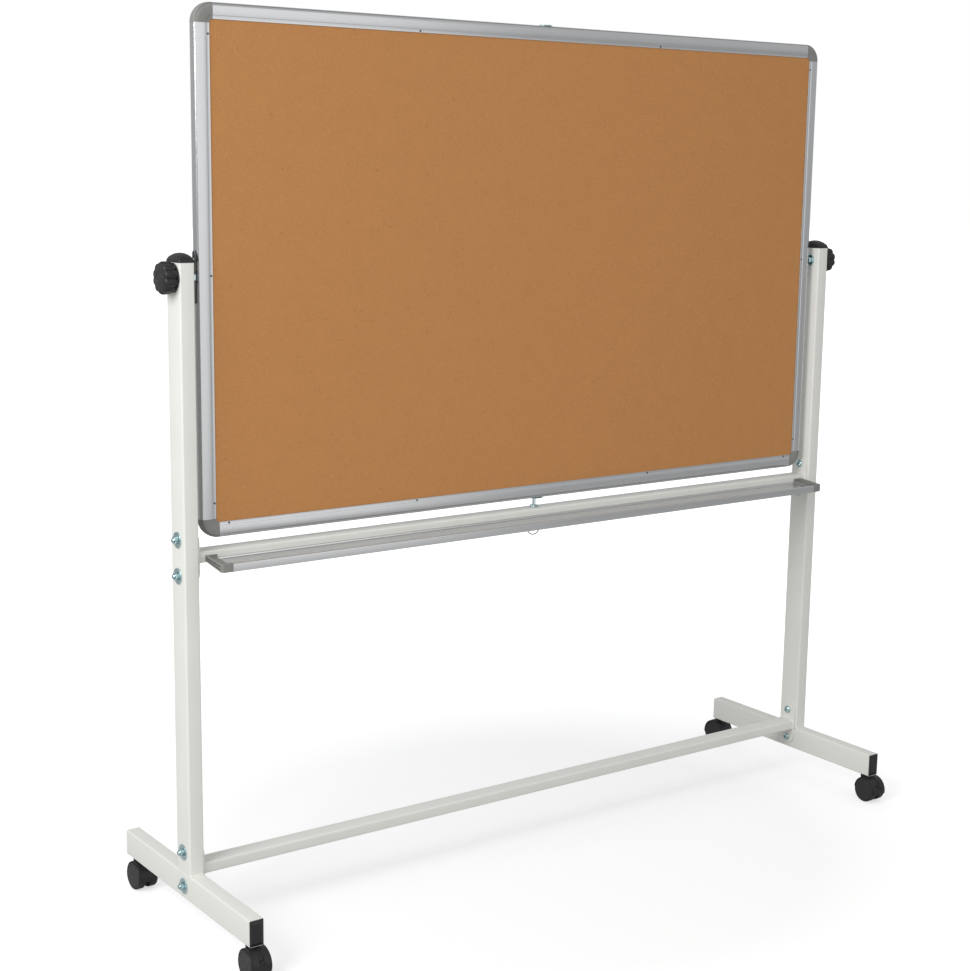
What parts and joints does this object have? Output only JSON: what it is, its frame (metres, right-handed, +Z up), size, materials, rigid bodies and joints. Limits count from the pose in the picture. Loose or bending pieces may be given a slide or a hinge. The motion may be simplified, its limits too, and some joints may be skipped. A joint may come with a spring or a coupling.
{
  "type": "mobile reversible cork and dry-wipe board",
  "caption": "Mobile two-sided board on a white rolling stand: cork on one face, dry-wipe steel on the other, with a marker tray, flip latch, clamping knobs and braked casters.",
  "frame": {"origin": "on the floor under the middle of the stand", "axes": "+Z up, +X to the right seen from the cork side, +Y to the back, so the cork faces -Y"},
  "size_m": [1.6238, 0.5503, 1.6499],
  "materials": {
    "white_paint": "satin",
    "board_aluminium": "satin anodised",
    "grey_plastic": "fine grain",
    "cork": "granulated cork, open grain",
    "core_board": "fibreboard",
    "dry_wipe_steel": "gloss enamel",
    "zinc_steel": "bright blue zinc plating",
    "black_plastic": "fine grain",
    "caster_wheel_plastic": "moulded nylon"
  },
  "bodies": {
    "stand": {"front_left_foot_plug": "black_plastic", "front_right_foot_plug": "black_plastic", "latch_guide": "zinc_steel", "latch_spring": "zinc_steel", "left_foot": "white_paint", "left_lower_crossbar_bolt_bottom": "zinc_steel", "left_lower_crossbar_bolt_top": "zinc_steel", "left_pivot_washer": "zinc_steel", "left_tray_cap": "grey_plastic", "left_upper_crossbar_bolt_bottom": "zinc_steel", "left_upper_crossbar_bolt_top": "zinc_steel", "left_upright": "white_paint", "left_upright_cap": "black_plastic", "lower_crossbar": "white_paint", "marker_tray": "board_aluminium", "rear_left_foot_plug": "black_plastic", "rear_right_foot_plug": "black_plastic", "right_foot": "white_paint", "right_lower_crossbar_bolt_bottom": "zinc_steel", "right_lower_crossbar_bolt_top": "zinc_steel", "right_pivot_washer": "zinc_steel", "right_tray_cap": "grey_plastic", "right_upper_crossbar_bolt_bottom": "zinc_steel", "right_upper_crossbar_bolt_top": "zinc_steel", "right_upright": "white_paint", "right_upright_cap": "black_plastic", "upper_crossbar": "white_paint"},
    "board": {"board_core": "core_board", "bottom_rail": "board_aluminium", "cork_sheet": "cork", "left_pivot_plate": "zinc_steel", "left_rail": "board_aluminium", "lower_left_corner": "grey_plastic", "lower_right_corner": "grey_plastic", "lower_strike": "zinc_steel", "right_pivot_plate": "zinc_steel", "right_rail": "board_aluminium", "top_rail": "board_aluminium", "upper_left_corner": "grey_plastic", "upper_right_corner": "grey_plastic", "upper_strike": "zinc_steel", "whiteboard_sheet": "dry_wipe_steel"},
    "latch": {"latch_pin": "zinc_steel"},
    "ring": {"pull_ring": "zinc_steel"},
    "left_knob": {"left_knob": "black_plastic"},
    "right_knob": {"right_knob": "black_plastic"},
    "front_left_caster": {"front_left_caster_body": "black_plastic"},
    "front_left_inner_wheel": {"front_left_inner_wheel": "caster_wheel_plastic"},
    "front_left_outer_wheel": {"front_left_outer_wheel": "caster_wheel_plastic"},
    "front_left_brake": {"front_left_brake_lever": "black_plastic"},
    "front_right_caster": {"front_right_caster_body": "black_plastic"},
    "front_right_inner_wheel": {"front_right_inner_wheel": "caster_wheel_plastic"},
    "front_right_outer_wheel": {"front_right_outer_wheel": "caster_wheel_plastic"},
    "front_right_brake": {"front_right_brake_lever": "black_plastic"},
    "rear_left_caster": {"rear_left_caster_body": "black_plastic"},
    "rear_left_inner_wheel": {"rear_left_inner_wheel": "caster_wheel_plastic"},
    "rear_left_outer_wheel": {"rear_left_outer_wheel": "caster_wheel_plastic"},
    "rear_right_caster": {"rear_right_caster_body": "black_plastic"},
    "rear_right_inner_wheel": {"rear_right_inner_wheel": "caster_wheel_plastic"},
    "rear_right_outer_wheel": {"rear_right_outer_wheel": "caster_wheel_plastic"}
  },
  "joints": [
    {"name": "board_flip", "type": "hinge", "parent": "stand", "child": "board", "pos_m": [0, 0, 1.186], "axis": [1, 0, 0], "continuous": true},
    {"name": "latch_pull", "type": "slide", "parent": "stand", "child": "latch", "axis": [0, 0, 1], "range_m": [-0.0062, 0], "stiffness_N_per_m": 400, "springref_m": 0.004, "deforming": ["latch_spring"]},
    {"name": "ring_swing", "type": "hinge", "parent": "latch", "child": "ring", "pos_m": [0, 0, 0.6798], "axis": [1, 0, 0], "range_deg": [-60, 60]},
    {"name": "left_knob_turn", "type": "hinge", "parent": "board", "child": "left_knob", "pos_m": [-0.7861, 0, 1.186], "axis": [-1, 0, 0], "range_deg": [0, 360]},
    {"name": "right_knob_turn", "type": "hinge", "parent": "board", "child": "right_knob", "pos_m": [0.7861, 0, 1.186], "axis": [1, 0, 0], "range_deg": [0, 360]},
    {"name": "front_left_swivel", "type": "hinge", "parent": "stand", "child": "front_left_caster", "pos_m": [-0.77195, -0.229, 0.058], "axis": [0, 0, 1], "continuous": true},
    {"name": "front_left_inner_wheel_roll", "type": "hinge", "parent": "front_left_caster", "child": "front_left_inner_wheel", "pos_m": [-0.77195, -0.244, 0.026], "axis": [1, 0, 0], "continuous": true},
    {"name": "front_left_outer_wheel_roll", "type": "hinge", "parent": "front_left_caster", "child": "front_left_outer_wheel", "pos_m": [-0.77195, -0.244, 0.026], "axis": [1, 0, 0], "continuous": true},
    {"name": "front_left_brake", "type": "hinge", "parent": "front_left_caster", "child": "front_left_brake", "pos_m": [-0.77195, -0.25846, 0.04206], "axis": [1, 0, 0], "range_deg": [0, 12]},
    {"name": "front_right_swivel", "type": "hinge", "parent": "stand", "child": "front_right_caster", "pos_m": [0.77195, -0.229, 0.058], "axis": [0, 0, 1], "continuous": true},
    {"name": "front_right_inner_wheel_roll", "type": "hinge", "parent": "front_right_caster", "child": "front_right_inner_wheel", "pos_m": [0.77195, -0.244, 0.026], "axis": [1, 0, 0], "continuous": true},
    {"name": "front_right_outer_wheel_roll", "type": "hinge", "parent": "front_right_caster", "child": "front_right_outer_wheel", "pos_m": [0.77195, -0.244, 0.026], "axis": [1, 0, 0], "continuous": true},
    {"name": "front_right_brake", "type": "hinge", "parent": "front_right_caster", "child": "front_right_brake", "pos_m": [0.77195, -0.25846, 0.04206], "axis": [1, 0, 0], "range_deg": [0, 12]},
    {"name": "rear_left_swivel", "type": "hinge", "parent": "stand", "child": "rear_left_caster", "pos_m": [-0.77195, 0.229, 0.058], "axis": [0, 0, 1], "continuous": true},
    {"name": "rear_left_inner_wheel_roll", "type": "hinge", "parent": "rear_left_caster", "child": "rear_left_inner_wheel", "pos_m": [-0.77116, 0.21402, 0.026], "axis": [0.9986, 0.0523, 0], "continuous": true},
    {"name": "rear_left_outer_wheel_roll", "type": "hinge", "parent": "rear_left_caster", "child": "rear_left_outer_wheel", "pos_m": [-0.77116, 0.21402, 0.026], "axis": [0.9986, 0.0523, 0], "continuous": true},
    {"name": "rear_right_swivel", "type": "hinge", "parent": "stand", "child": "rear_right_caster", "pos_m": [0.77195, 0.229, 0.058], "axis": [0, 0, 1], "continuous": true},
    {"name": "rear_right_inner_wheel_roll", "type": "hinge", "parent": "rear_right_caster", "child": "rear_right_inner_wheel", "pos_m": [0.76986, 0.24385, 0.026], "axis": [0.9903, 0.1392, 0], "continuous": true},
    {"name": "rear_right_outer_wheel_roll", "type": "hinge", "parent": "rear_right_caster", "child": "rear_right_outer_wheel", "pos_m": [0.76986, 0.24385, 0.026], "axis": [0.9903, 0.1392, 0], "continuous": true}
  ]
}
